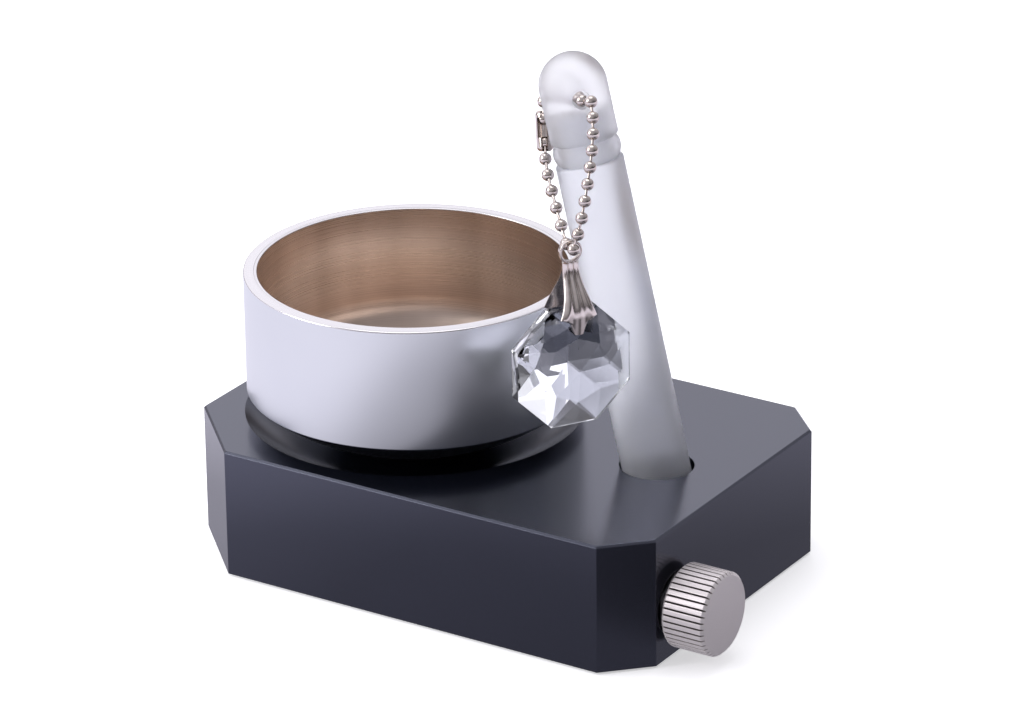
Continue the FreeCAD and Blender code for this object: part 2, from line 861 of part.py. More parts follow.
def crystal():
    """An eight-sided crystal, faceted to a point on each face, with a hole for the pegs."""
    cornerRadius = crystalAcross / 2 / math.cos(math.pi / 8)
    edge = crystalEdge / 2
    solidFaces = []

    def ring(radius, depth, offset):
        places = []
        for number in range(8):
            angle = math.pi / 4 * number + offset
            places.append(Vector(depth, radius * math.sin(angle), radius * math.cos(angle)))
        return places

    def facet(corners):
        solidFaces.append(Part.Face(Part.makePolygon(corners + corners[:1])))

    rims = {}
    for side in (-1, 1):
        rim = ring(cornerRadius, side * edge, math.pi / 8)
        star = ring(starRadius, side * starDepth / 2, 0)
        point = Vector(side * crystalDepth / 2, 0, 0)
        rims[side] = rim
        for number in range(8):
            following = (number + 1) % 8
            facet([point, star[number], star[following]])
            facet([star[number], rim[number], star[following]])
            facet([rim[number], rim[following], star[following]])
    for number in range(8):
        following = (number + 1) % 8
        facet([rims[-1][number], rims[1][number], rims[1][following], rims[-1][following]])
    solid = Part.Solid(Part.Shell(solidFaces))
    if solid.Volume < 0:
        solid.reverse()
    hole = rod(pinRadius + pinFit, crystalDepth, Vector(-crystalDepth / 2, 0, crystalDrop - pinDrop),
               alongX)
    solid = solid.cut(hole)
    solid.Placement = pendantPlace.multiply(
        FreeCAD.Placement(Vector(0, 0, -crystalDrop), FreeCAD.Rotation()))
    return solid


def chainParts():
    inHole = holePlaces()
    front = frontPlaces()
    rear = rearPlaces()
    loop = loopPlaces()
    return {
        "chain_top_beads": beads(inHole + loop[:-1]),
        "chain_top_links": Part.makeCompound([links(inHole), links(loop)]),
        "chain_beads": beads(front + rear),
        "chain_links": Part.makeCompound([links([inHole[-1]] + front), links([front[-1]] + rear)]),
        "chain_sleeve": chainSleeve(),
    }


def build():
    parts = {
        "housing": housing(),
        "bottom_plate": bottomPlate(),
        "bottom_screws": bottomScrews(),
        "resting_pad": restingPad(),
        "dish_seat_pad": seatPad(),
        "coil_bobbin": coilBobbin(),
        "coil_winding": coilWinding(),
        "coil_core": coilCore(),
        "driver_board": driverBoard(),
        "board_spacers": boardSpacers(),
        "board_screws": boardScrews(),
        "capacitors": capacitors(),
        "power_switches": powerSwitches(),
        "power_inlet": powerInlet(),
        "control_body": controlBody(),
        "control_bushing": controlBushing(),
        "control_washer": controlWasher(),
        "control_nut": controlNut(),
        "control_shaft": controlShaft(),
        "knob": knob(),
        "knob_screw": knobScrew(),
        "bowl_shell": bowlShell(),
        "bowl_liner": bowlLiner(),
        "wand_rod": wandRod(),
        "wand_ring": wandRing(),
        "wand_cap": wandCap(),
        "bail": bail(),
        "crystal": crystal(),
    }
    parts.update(chainParts())
    os.makedirs("parts", exist_ok=True)
    for name, shape in parts.items():
        shape.exportStep("parts/" + name + ".step")
        print(name, len(shape.Solids), "solids", round(shape.Volume, 2), "mm3",
              "valid" if shape.isValid() else "NOT VALID")


build()
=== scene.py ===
import math
import json

import bmesh
import bpy
import numpy as np
from mathutils import Matrix, Vector


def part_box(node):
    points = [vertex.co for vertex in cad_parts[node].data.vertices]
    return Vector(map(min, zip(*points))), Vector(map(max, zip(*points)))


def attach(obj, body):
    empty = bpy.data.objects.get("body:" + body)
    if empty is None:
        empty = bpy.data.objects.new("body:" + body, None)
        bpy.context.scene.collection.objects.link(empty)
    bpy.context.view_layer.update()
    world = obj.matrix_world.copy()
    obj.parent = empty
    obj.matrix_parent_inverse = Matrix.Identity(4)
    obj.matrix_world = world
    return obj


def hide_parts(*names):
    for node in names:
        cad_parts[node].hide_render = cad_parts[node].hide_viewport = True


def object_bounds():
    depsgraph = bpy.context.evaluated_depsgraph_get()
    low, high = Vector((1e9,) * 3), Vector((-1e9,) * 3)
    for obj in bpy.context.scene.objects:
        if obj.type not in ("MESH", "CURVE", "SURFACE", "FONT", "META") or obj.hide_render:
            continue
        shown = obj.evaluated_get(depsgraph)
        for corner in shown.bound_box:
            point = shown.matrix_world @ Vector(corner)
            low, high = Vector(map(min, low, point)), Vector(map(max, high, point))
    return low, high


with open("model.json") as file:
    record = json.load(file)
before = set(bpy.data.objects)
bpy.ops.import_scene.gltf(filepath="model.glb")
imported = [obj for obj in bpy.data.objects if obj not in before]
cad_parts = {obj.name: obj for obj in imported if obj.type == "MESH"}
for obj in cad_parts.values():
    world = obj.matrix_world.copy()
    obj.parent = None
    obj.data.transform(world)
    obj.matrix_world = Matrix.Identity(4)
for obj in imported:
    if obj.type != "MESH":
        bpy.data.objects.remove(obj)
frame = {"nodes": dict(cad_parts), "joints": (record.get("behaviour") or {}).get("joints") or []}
cadLow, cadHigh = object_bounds()
nodes = frame["nodes"]
joints = {joint["name"]: joint for joint in frame["joints"]}
mm = 0.001
print("frame loaded:", len(nodes), "nodes")


def linear(hexText):
    # sRGB to linear: c / 12.92 when dark, otherwise ((c + 0.055) / 1.055) to the power 2.4
    parts = [int(hexText[place:place + 2], 16) / 255 for place in (1, 3, 5)]
    bright = [c / 12.92 if c <= 0.04045 else ((c + 0.055) / 1.055) ** 2.4 for c in parts]
    return (*bright, 1.0)


def addNode(tree, kind, settings=None, links=None, stops=()):
    # one node; settings are its own fields, links are its inputs, each a value or
    # (node, output), and stops are a ramp's (position, colour) pairs in rising order
    node = tree.nodes.new(kind)
    for field, value in (settings or {}).items():
        setattr(node, field, value)
    for socket, value in (links or {}).items():
        if isinstance(value, tuple) and isinstance(value[0], bpy.types.Node):
            tree.links.new(value[0].outputs[value[1]], node.inputs[socket])
        else:
            node.inputs[socket].default_value = value
    for number, (position, colour) in enumerate(stops):
        ramp = node.color_ramp.elements
        stop = ramp[number] if number < 2 else ramp.new(position)
        stop.position, stop.color = position, colour
    return node


def newMaterial(name):
    # a new material, its tree, and the coordinates that every pattern starts from
    material = bpy.data.materials.new(name)
    material.use_nodes = True
    tree = material.node_tree
    tree.nodes.clear()
    return material, tree, addNode(tree, "ShaderNodeTexCoord")


def closeMaterial(tree, shader):
    addNode(tree, "ShaderNodeOutputMaterial", links={"Surface": (shader, 0)})


def giveMaterial(node, material):
    nodes[node].data.materials.clear()
    nodes[node].data.materials.append(material)


def newPiece(name, mesh):
    piece = bpy.data.objects.new(name, mesh)
    bpy.context.scene.collection.objects.link(piece)
    return piece


def meshFrom(name, points, faces):
    mesh = bpy.data.meshes.new(name)
    mesh.from_pydata(np.asarray(points, float).tolist(), [], faces)
    mesh.validate()
    return newPiece(name, mesh)


def gridFaces(rows, columns):
    # quads between neighbouring rows and columns; the last column joins the first
    row, column = np.meshgrid(np.arange(rows - 1), np.arange(columns), indexing="ij")
    following = (column + 1) % columns
    quads = np.stack([row * columns + column, row * columns + following,
                      (row + 1) * columns + following, (row + 1) * columns + column], -1)
    return quads.reshape(-1, 4)


def weld(piece, creaseAngle):
    # merges the doubled points at poles and seams, turns every face outwards, and smooths
    # all but the edges that bend more than the crease angle
    work = bmesh.new()
    work.from_mesh(piece.data)
    bmesh.ops.remove_doubles(work, verts=work.verts, dist=1e-7)
    bmesh.ops.dissolve_degenerate(work, edges=work.edges, dist=1e-8)
    bmesh.ops.recalc_face_normals(work, faces=work.faces)
    work.to_mesh(piece.data)
    work.free()
    piece.data.shade_smooth()
    piece.data.set_sharp_from_angle(angle=math.radians(creaseAngle))


def rounded(corners, steps=5):
    # a path of (radius, height, rounding) corners; each rounding is an arc that meets both sides
    places = []
    count = len(corners)
    for number, (x, z, rounding) in enumerate(corners):
        here = np.array([x, z], float)
        if rounding <= 0 or number in (0, count - 1):
            places.append(here)
            continue
        before = np.array(corners[number - 1][:2], float) - here
        after = np.array(corners[number + 1][:2], float) - here
        before /= np.linalg.norm(before)
        after /= np.linalg.norm(after)
        half = math.acos(np.clip(before @ after, -1, 1)) / 2
        reach = rounding / math.tan(half)
        middle = before + after
        centre = here + middle / np.linalg.norm(middle) * rounding / math.sin(half)
        start = here + before * reach - centre
        end = here + after * reach - centre
        turn = math.atan2(start[0] * end[1] - start[1] * end[0], start @ end)
        for part in np.linspace(0, 1, steps + 1):
            c, s = math.cos(turn * part), math.sin(turn * part)
            places.append(centre + np.array([c * start[0] - s * start[1],
                                             s * start[0] + c * start[1]]))
    return np.array(places)


def spin(name, profile, place, segments=192, creaseAngle=35):
    # radius and height turned about the axis: (r cos a, r sin a, z), a over the full turn
    angle = np.linspace(0, 2 * np.pi, segments, endpoint=False)
    radius = profile[:, :1]
    points = np.stack([radius * np.cos(angle), radius * np.sin(angle),
                       np.repeat(profile[:, 1:], segments, 1)], -1).reshape(-1, 3)
    piece = meshFrom(name, points, gridFaces(len(profile), segments).tolist())
    weld(piece, creaseAngle)
    piece.data.transform(place)
    return piece


def finishPiece(piece, body, replaced, materials):
    for material in materials:
        piece.data.materials.append(material)
    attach(piece, body)
    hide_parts(replaced)


def mottled(tree, place, sizeMm, dark, pale, detail=2.0):
    # a colour that wanders between two shades, in clouds of the given size
    cloud = addNode(tree, "ShaderNodeTexNoise", {}, {
        "Vector": (place, "Object"), "Scale": 1 / (sizeMm * mm), "Detail": detail})
    return addNode(tree, "ShaderNodeValToRGB", {}, {"Fac": (cloud, 0)}, [
        (0, linear(dark)), (1, linear(pale))])


def textured(tree, grain, rough, strength, depthMm, under=None):
    # the shader's roughness, from rough[0] to rough[1], and its bump, both following the grain
    level = addNode(tree, "ShaderNodeMapRange", {}, {
        "Value": (grain, 0), "To Min": rough[0], "To Max": rough[1]})
    links = {"Height": (grain, 0), "Strength": strength, "Distance": depthMm * mm}
    if under is not None:
        links["Normal"] = (under, 0)
    bump = addNode(tree, "ShaderNodeBump", {}, links)
    return {"Roughness": (level, 0), "Normal": (bump, 0)}


def fromBowlAxis(tree, place):
    return addNode(tree, "ShaderNodeMapping", {}, {
        "Vector": (place, "Object"), "Location": (-bowl["x"], 0, 0)})


def anodisedBlack():
    # black anodised aluminium, bead blasted before the dye: a satin grain, soft at the edges
    settings = {"dark": "#07080e", "pale": "#0c0e17", "grainMm": 0.35, "cloudMm": 18,
                "rough": (0.15, 0.25), "bump": 0.05, "bumpMm": 0.05, "edgeMm": 0.2,
                "index": 2.0, "tint": "#e0e5ff"}
    material, tree, place = newMaterial("anodisedBlack")
    grain = addNode(tree, "ShaderNodeTexNoise", {}, {
        "Vector": (place, "Object"), "Scale": 1 / (settings["grainMm"] * mm), "Detail": 2.0})
    colour = mottled(tree, place, settings["cloudMm"], settings["dark"], settings["pale"], 3.0)
    soft = addNode(tree, "ShaderNodeBevel", {"samples": 6}, {"Radius": settings["edgeMm"] * mm})
    shader = addNode(tree, "ShaderNodeBsdfPrincipled", {}, {
        "Base Color": (colour, 0), "IOR": settings["index"],
        "Specular Tint": linear(settings["tint"]),
        **textured(tree, grain, settings["rough"], settings["bump"], settings["bumpMm"], soft)})
    closeMaterial(tree, shader)
    return material


def satinAluminium():
    # aluminium, blasted and clear anodised: soft wide highlights with a very fine grain
    settings = {"dark": "#d6d9dc", "pale": "#e1e4e6", "grainMm": 0.3, "cloudMm": 25,
                "rough": (0.27, 0.35), "bump": 0.05, "bumpMm": 0.03, "stretch": 0.5}
    material, tree, place = newMaterial("satinAluminium")
    grain = addNode(tree, "ShaderNodeTexNoise", {}, {
        "Vector": (place, "Object"), "Scale": 1 / (settings["grainMm"] * mm), "Detail": 2.0})
    colour = mottled(tree, place, settings["cloudMm"], settings["dark"], settings["pale"])
    around = addNode(tree, "ShaderNodeTangent", {"direction_type": "RADIAL", "axis": "Z"})
    shader = addNode(tree, "ShaderNodeBsdfPrincipled", {}, {
        "Base Color": (colour, 0), "Metallic": 1.0, "Anisotropic": settings["stretch"],
        "Tangent": (around, 0),
        **textured(tree, grain, settings["rough"], settings["bump"], settings["bumpMm"])})
    closeMaterial(tree, shader)
    return material


def diamondCutRim():
    # the same aluminium, cut bright with a diamond tool: nearly white, with faint tool lines
    settings = {"colour": "#dddbdc", "lineMm": 0.25, "rough": (0.14, 0.26),
                "bump": 0.05, "bumpMm": 0.02}
    material, tree, place = newMaterial("diamondCutRim")
    centre = fromBowlAxis(tree, place)
    radius = addNode(tree, "ShaderNodeVectorMath", {"operation": "LENGTH"}, {0: (centre, 0)})
    lines = addNode(tree, "ShaderNodeTexNoise", {"noise_dimensions": "1D"}, {
        "W": (radius, "Value"), "Scale": 1 / (settings["lineMm"] * mm), "Detail": 1.0})
    shader = addNode(tree, "ShaderNodeBsdfPrincipled", {}, {
        "Base Color": linear(settings["colour"]), "Metallic": 1.0,
        **textured(tree, lines, settings["rough"], settings["bump"], settings["bumpMm"])})
    closeMaterial(tree, shader)
    return material


def turnedSteel():
    # stainless steel, turned and brushed round the bowl: rings at each height and radius,
    # warm grey, upright bands of painted reflection, and painted shade and more roughness toward
    # the floor
    settings = {"dark": "#b9aca2", "pale": "#fbefe6", "lineMm": 0.2, "bandMm": 13,
                "bandShare": 0.65, "low": 0.3, "high": 0.7, "rough": (0.22, 0.36),
                "bump": 0.06, "bumpMm": 0.02, "stretch": 0.8,
                "paintedShade": "#e9ddd4", "duskLow": 29, "duskHigh": 40, "duskRough": 0.16}
    material, tree, place = newMaterial("turnedSteel")
    centre = fromBowlAxis(tree, place)
    parts = addNode(tree, "ShaderNodeSeparateXYZ", {}, {0: (centre, 0)})
    flat = addNode(tree, "ShaderNodeCombineXYZ", {}, {"X": (parts, "X"), "Y": (parts, "Y")})
    radius = addNode(tree, "ShaderNodeVectorMath", {"operation": "LENGTH"}, {0: (flat, 0)})
    ring = addNode(tree, "ShaderNodeMath", {"operation": "ADD"}, {
        0: (radius, "Value"), 1: (parts, "Z")})
    lines = addNode(tree, "ShaderNodeTexNoise", {"noise_dimensions": "1D"}, {
        "W": (ring, 0), "Scale": 1 / (settings["lineMm"] * mm), "Detail": 3.0})
    # upright bands of painted reflection: a noise over the flat position only, so it runs straight
    # up the wall
    reflectionBands = addNode(tree, "ShaderNodeTexNoise", {}, {
        "Vector": (flat, 0), "Scale": 1 / (settings["bandMm"] * mm), "Detail": 2.0})
    both = addNode(tree, "ShaderNodeMix", {"data_type": "FLOAT"}, {
        "Factor": settings["bandShare"], "A": (lines, 0), "B": (reflectionBands, 0)})
    colour = addNode(tree, "ShaderNodeValToRGB", {}, {"Fac": (both, 0)}, [
        (settings["low"], linear(settings["dark"])), (settings["high"], linear(settings["pale"]))])
    around = addNode(tree, "ShaderNodeTangent", {"direction_type": "RADIAL", "axis": "Z"})
    # painted shade: toward the floor of the bowl the colour is multiplied by a warm grey
    depth = addNode(tree, "ShaderNodeMapRange", {}, {
        "Value": (parts, "Z"), "From Min": settings["duskLow"] * mm,
        "From Max": settings["duskHigh"] * mm, "To Min": 1.0, "To Max": 0.0})
    shaded = addNode(tree, "ShaderNodeMix", {"data_type": "RGBA", "blend_type": "MULTIPLY"}, {
        "Factor": (depth, 0), "A": (colour, 0), "B": linear(settings["paintedShade"])})
    texture = textured(tree, lines, settings["rough"], settings["bump"], settings["bumpMm"])
    dulled = addNode(tree, "ShaderNodeMath", {"operation": "MULTIPLY"}, {
        0: (depth, 0), 1: settings["duskRough"]})
    duller = addNode(tree, "ShaderNodeMath", {"operation": "ADD"}, {
        0: texture["Roughness"], 1: (dulled, 0)})
    texture["Roughness"] = (duller, 0)
    shader = addNode(tree, "ShaderNodeBsdfPrincipled", {}, {
        "Base Color": (shaded, "Result"), "Metallic": 1.0, "Anisotropic": settings["stretch"],
        "Tangent": (around, 0), **texture})
    closeMaterial(tree, shader)
    return material


def frostedAcrylic(name, pale, deep, transmission):
    # frosted acrylic: rough surface over a milky body that lets a little light through
    settings = {"grainMm": 0.3, "cloudMm": 9, "rough": (0.36, 0.48), "bump": 0.08,
                "bumpMm": 0.03, "index": 1.4, "milk": 0.35, "reachMm": 3,
                "reaches": (1.0, 1.0, 1.1)}
    material, tree, place = newMaterial(name)
    grain = addNode(tree, "ShaderNodeTexNoise", {}, {
        "Vector": (place, "Object"), "Scale": 1 / (settings["grainMm"] * mm), "Detail": 2.0})
    colour = mottled(tree, place, settings["cloudMm"], deep, pale)
    shader = addNode(tree, "ShaderNodeBsdfPrincipled", {}, {
        "Base Color": (colour, 0), "IOR": settings["index"],
        "Transmission Weight": transmission, "Subsurface Weight": settings["milk"],
        "Subsurface Radius": settings["reaches"], "Subsurface Scale": settings["reachMm"] * mm,
        **textured(tree, grain, settings["rough"], settings["bump"], settings["bumpMm"])})
    closeMaterial(tree, shader)
    return material


def brightNickel(name, base, rough):
    # nickel plate over brass: mirror bright, with faint handling marks
    settings = {"worn": "#eee9e6", "wear": 0.35, "low": 0.3, "high": 0.7, "markMm": 1.2}
    material, tree, place = newMaterial(name)
    marks = addNode(tree, "ShaderNodeTexNoise", {}, {
        "Vector": (place, "Object"), "Scale": 1 / (settings["markMm"] * mm), "Detail": 3.0})
    share = addNode(tree, "ShaderNodeMapRange", {}, {
        "Value": (marks, 0), "From Min": settings["low"], "From Max": settings["high"],
        "To Max": settings["wear"]})
    colour = addNode(tree, "ShaderNodeMix", {"data_type": "RGBA"}, {
        "Factor": (share, 0), "A": linear(base), "B": linear(settings["worn"])})
    level = addNode(tree, "ShaderNodeMapRange", {}, {
        "Value": (marks, 0), "To Min": rough[0], "To Max": rough[1]})
    shader = addNode(tree, "ShaderNodeBsdfPrincipled", {}, {
        "Base Color": (colour, "Result"), "Roughness": (level, 0), "Metallic": 1.0})
    closeMaterial(tree, shader)
    return material


def cutCrystal():
    # lead-free crystal, cut and polished: clear glass that bends light at every facet
    settings = {"colour": "#fbfdff", "markMm": 3, "rough": 0.02, "index": 1.62}
    material, tree, place = newMaterial("cutCrystal")
    marks = addNode(tree, "ShaderNodeTexNoise", {}, {
        "Vector": (place, "Object"), "Scale": 1 / (settings["markMm"] * mm), "Detail": 2.0})
    level = addNode(tree, "ShaderNodeMapRange", {}, {
        "Value": (marks, 0), "To Max": settings["rough"]})
    shader = addNode(tree, "ShaderNodeBsdfPrincipled", {}, {
        "Base Color": linear(settings["colour"]), "Roughness": (level, 0),
        "IOR": settings["index"], "Transmission Weight": 1.0})
    closeMaterial(tree, shader)
    return material


def plainFinish(name, dark, pale, metallic, rough, grainMm, bumpMm):
    # one even finish with a noise of the given grain in its colour, roughness and surface
    settings = {"low": 0.3, "high": 0.7, "smoother": 0.05, "rougher": 0.08, "bump": 0.3}
    material, tree, place = newMaterial(name)
    grain = addNode(tree, "ShaderNodeTexNoise", {}, {
        "Vector": (place, "Object"), "Scale": 1 / (grainMm * mm), "Detail": 3.0})
    colour = addNode(tree, "ShaderNodeValToRGB", {}, {"Fac": (grain, 0)}, [
        (settings["low"], linear(dark)), (settings["high"], linear(pale))])
    levels = (rough - settings["smoother"], rough + settings["rougher"])
    shader = addNode(tree, "ShaderNodeBsdfPrincipled", {}, {
        "Base Color": (colour, 0), "Metallic": metallic,
        **textured(tree, grain, levels, settings["bump"], bumpMm)})
    closeMaterial(tree, shader)
    return material


shellLow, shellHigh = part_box("bowl_shell")
linerLow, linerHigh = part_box("bowl_liner")
bowl = {
    "x": (shellLow.x + shellHigh.x) / 2,
    "radius": (shellHigh.x - shellLow.x) / 2,
    "rimZ": shellHigh.z,
    "footZ": shellLow.z,
    "linerOuter": (linerHigh.x - linerLow.x) / 2,
    "linerWall": 0.6 * mm,
    "linerGap": 0.04 * mm,
    "linerRound": 0.15 * mm,
    "lipStep": 0.02 * mm,        # the lining's lip below the rim
    "edgeHeight": 9.6 * mm,      # foot to the sharp edge where the straight wall starts
    "sphere": 51.9 * mm,         # radius of the rounded underside
    "corner": 9 * mm,            # the soft corner inside, between wall and floor
    "edgeRound": 0.35 * mm,
    "rimRound": 0.3 * mm,
    "brightDepth": 0.27 * mm,    # faces above this depth are cut bright
    "segments": 256,
}


def cupLine(inset, corner=0, steps=28):
    # floor, underside sphere about (0, centreZ), corner of its own radius, and straight wall:
    # every (radius, height) lies the same inset inside the bowl's outer surface
    edgeZ = bowl["footZ"] + bowl["edgeHeight"]
    centreZ = edgeZ + math.sqrt(bowl["sphere"] ** 2 - bowl["radius"] ** 2)
    sphere = bowl["sphere"] - inset
    wall = bowl["radius"] - inset
    floorZ = bowl["footZ"] + inset
    bendZ = centreZ - math.sqrt((sphere - corner) ** 2 - (wall - corner) ** 2)
    slope = math.atan2(centreZ - bendZ, wall - corner)
    foot = math.asin((centreZ - floorZ) / sphere)
    turn = np.linspace(foot, slope, steps)
    line = [(0, floorZ)] + [(sphere * math.cos(a), centreZ - sphere * math.sin(a)) for a in turn]
    if corner:
        turn = np.linspace(slope, 0, steps)[1:]
        line += [(wall - corner + corner * math.cos(a), bendZ - corner * math.sin(a))
                 for a in turn]
    return line


def plainCorners(line):
    return [(radius, height, 0) for radius, height in line]


def brighten(piece):
    # the second material on every face near the top
    middles = np.zeros(len(piece.data.polygons) * 3)
    piece.data.polygons.foreach_get("center", middles)
    bright = middles.reshape(-1, 3)[:, 2] > bowl["rimZ"] - bowl["brightDepth"]
    piece.data.polygons.foreach_set("material_index", bright.astype(int))


def makeBowl():
    place = Matrix.Translation((bowl["x"], 0, 0))
    outer = cupLine(0)
    behind = bowl["radius"] - bowl["linerOuter"] - bowl["linerGap"]
    cavity = cupLine(behind, bowl["corner"])[::-1]
    outline = plainCorners(outer[:-1]) + [
        (*outer[-1], bowl["edgeRound"]),
        (bowl["radius"], bowl["rimZ"], bowl["rimRound"]),
        (bowl["radius"] - behind, bowl["rimZ"], 0)] + plainCorners(cavity)
    shell = spin("bowlShell", rounded(outline), place, bowl["segments"])
    finishPiece(shell, "bowl", "bowl_shell", [satinAluminium(), diamondCutRim()])
    brighten(shell)

    back = bowl["radius"] - bowl["linerOuter"]
    front = cupLine(back + bowl["linerWall"], bowl["corner"])[::-1]
    top = bowl["rimZ"] - bowl["lipStep"]
    lining = plainCorners(cupLine(back, bowl["corner"])) + [
        (bowl["linerOuter"], top, 0),
        (bowl["linerOuter"] - bowl["linerWall"], top, bowl["linerRound"])] + plainCorners(front)
    liner = spin("bowlLining", rounded(lining), place, bowl["segments"])
    finishPiece(liner, "bowl", "bowl_liner", [turnedSteel(), diamondCutRim()])
    brighten(liner)


makeBowl()
print("bowl made")


def solidsOf(node):
    # the separate solids of a CAD node, each as an array of its points, in the node's own order
    work = bmesh.new()
    work.from_mesh(nodes[node].data)
    bmesh.ops.remove_doubles(work, verts=work.verts, dist=1e-6)
    seen, groups = set(), []
    for start in work.verts:
        if start in seen:
            continue
        group, waiting = [], [start]
        seen.add(start)
        while waiting:
            point = waiting.pop()
            group.append(point.co[:])
            for edge in point.link_edges:
                other = edge.other_vert(point)
                if other not in seen:
                    seen.add(other)
                    waiting.append(other)
        groups.append(np.array(group))
    work.free()
    return groups


def centresOf(node):
    return np.array([(group.min(0) + group.max(0)) / 2 for group in solidsOf(node)])


def turnTo(way):
    # the rotation that takes +Z to the given way
    return Vector((0, 0, 1)).rotation_difference(Vector(way)).to_matrix().to_4x4()


wand = {
    "neckRadius": 4.4 * mm,
    "neckInCap": 5.5 * mm,
    "neckFit": 0.08 * mm,
    "ringEnd": 5.75 * mm,
    "endRound": 0.55 * mm,
    "holeRadius": 1.75 * mm,
    "holeRound": 0.3 * mm,
    "holeCorner": 50,            # edges that bend more, in degrees, are rounded at the hole
    "holeBeads": 5,              # the first beads of the chain, which lie in the hole
    "collarRows": 13,
    "domeRows": 28,
    "rod": ("#f4f5fa", "#eef0f7", 0.72),
    "top": ("#fafafc", "#f7f7fa", 0.86),
}
wandTurn = turnTo(joints["wand_draw"]["axis"])
topBeads = centresOf("chain_top_beads")
beadsInHole = topBeads[:wand["holeBeads"]]
holeCentre = Vector(beadsInHole.mean(0))
holeWay = Vector(beadsInHole[-1] - beadsInHole[0]).normalized()


def alongWand(node):
    # a node's low and high corners in the wand's own upright frame
    points = np.array([v.co for v in nodes[node].data.vertices]) @ np.array(wandTurn.to_3x3())
    return points.min(0), points.max(0)


def cutAway(piece, cutter, creaseAngle=35):
    # takes the cutter's space out of the piece, and drops the cutter
    cut = piece.modifiers.new("cut", "BOOLEAN")
    cut.object = cutter
    cut.solver = "EXACT"
    view = bpy.context.evaluated_depsgraph_get()
    made = bpy.data.meshes.new_from_object(piece.evaluated_get(view))
    piece.modifiers.clear()
    piece.data = made
    piece.data.set_sharp_from_angle(angle=math.radians(creaseAngle))
    bpy.data.objects.remove(cutter)


def makeWand():
    low, high = alongWand("wand_rod")
    ringLow, ringHigh = alongWand("wand_ring")
    capLow, capHigh = alongWand("wand_cap")
    radius = (high[0] - low[0]) / 2
    place = wandTurn @ Matrix.Translation(((low[0] + high[0]) / 2, (low[1] + high[1]) / 2, low[2]))
    shoulder = ringLow[2] - low[2]
    capFoot = capLow[2] - low[2]
    capTop = capHigh[2] - low[2]
    neckTop = capFoot + wand["neckInCap"]
    neck = wand["neckRadius"]
    inner = neck + wand["neckFit"]
    corner = wand["endRound"]
    acrylic = frostedAcrylic("frostedAcrylic", *wand["rod"])
    clearer = frostedAcrylic("frostedCap", *wand["top"])

    stem = [(0, 0, 0), (radius, 0, corner), (radius, shoulder, corner), (neck, shoulder, 0),
            (neck, neckTop, corner), (0, neckTop, 0)]
    rod = spin("wandRod", rounded(stem), place)
    finishPiece(rod, "wand", "wand_rod", [acrylic])

    # the collar bulges as a parabola: r = radius - (radius - end) t squared, t from -1 to 1
    turn = np.linspace(-1, 1, wand["collarRows"])
    bulge = radius - (radius - wand["ringEnd"]) * turn ** 2
    height = shoulder + (capFoot - shoulder) / 2 * (1 + turn)
    collar = [(inner, shoulder, 0)] + [(r, z, 0) for r, z in zip(bulge, height)]
    collar += [(inner, capFoot, 0), (inner, shoulder, 0)]
    ring = spin("wandRing", rounded(collar), place)
    finishPiece(ring, "wand", "wand_ring", [clearer])

    # the cap ends in half a sphere: r = radius cos a, z = start + radius sin a
    rise = np.linspace(0, np.pi / 2, wand["domeRows"])
    domeStart = capTop - radius
    outline = [(0, neckTop + wand["neckFit"], 0), (inner, neckTop + wand["neckFit"], 0),
               (inner, capFoot, 0), (radius, capFoot, corner)]
    outline += [(radius * math.cos(a), domeStart + radius * math.sin(a), 0) for a in rise]
    cap = spin("wandCap", rounded(outline), place)
    reach = 2 * radius
    bar = spin("holeBar", np.array([(0, -reach), (wand["holeRadius"], -reach),
                                    (wand["holeRadius"], reach), (0, reach)]),
               Matrix.Translation(holeCentre) @ turnTo(holeWay), segments=64)
    cutAway(cap, bar)
    edge = cap.modifiers.new("holeEdge", "BEVEL")
    edge.width = wand["holeRound"]
    edge.segments = 3
    edge.limit_method = "ANGLE"
    edge.angle_limit = math.radians(wand["holeCorner"])
    finishPiece(cap, "cap", "wand_cap", [clearer])


makeWand()
print("wand made")

chain = {
    "beadRadius": 1.2 * mm,
    "linkRadius": 0.33 * mm,
    "dimpleRadius": 0.5 * mm,     # the hole in each end of a bead that the link comes out of
    "dimpleDepth": 0.15 * mm,
    "beadSegments": 28,
    "beadRows": 18,
    "linkSegments": 16,
    "linkRows": 7,
    "waist": 0.8,                 # a link's radius at its middle, as a part of linkRadius
    "crease": 50,
    "base": "#c9beb7",
    "rough": (0.06, 0.14),
}


def turnedCopies(name, profile, centres, ways, segments):
    # one (radius, height) profile turned about each way at each centre, all as one mesh:
    # point = centre + (across cos a + beside sin a) r + way z
    # the helper is Z, or X for a way that runs close to Z
    centres, ways = np.asarray(centres, float), np.asarray(ways, float)
    ways = ways / np.linalg.norm(ways, axis=1, keepdims=True)
    helper = np.where(np.abs(ways[:, 2:]) < 0.9, [[0, 0, 1.0]], [[1.0, 0, 0]])
    across = np.cross(ways, helper)
    across /= np.linalg.norm(across, axis=1, keepdims=True)
    beside = np.cross(ways, across)
    angle = np.linspace(0, 2 * np.pi, segments, endpoint=False)
    circle = (across[:, None] * np.cos(angle)[None, :, None]
              + beside[:, None] * np.sin(angle)[None, :, None])
    radius, height = profile[:, 0], profile[:, 1]
    points = (centres[:, None, None] + circle[:, None] * radius[None, :, None, None]
              + ways[:, None, None] * height[None, :, None, None])
    one = gridFaces(len(profile), segments)
    share = len(profile) * segments
    faces = (one[None] + share * np.arange(len(centres))[:, None, None]).reshape(-1, 4)
    piece = meshFrom(name, points.reshape(-1, 3), faces.tolist())
    weld(piece, chain["crease"])
    return piece


def beadWays(centres):
    # each bead faces along the line between its two neighbours
    ahead = np.roll(centres, -1, 0)
    behind = np.roll(centres, 1, 0)
    ahead[-1], behind[0] = centres[-1], centres[0]
    return ahead - behind


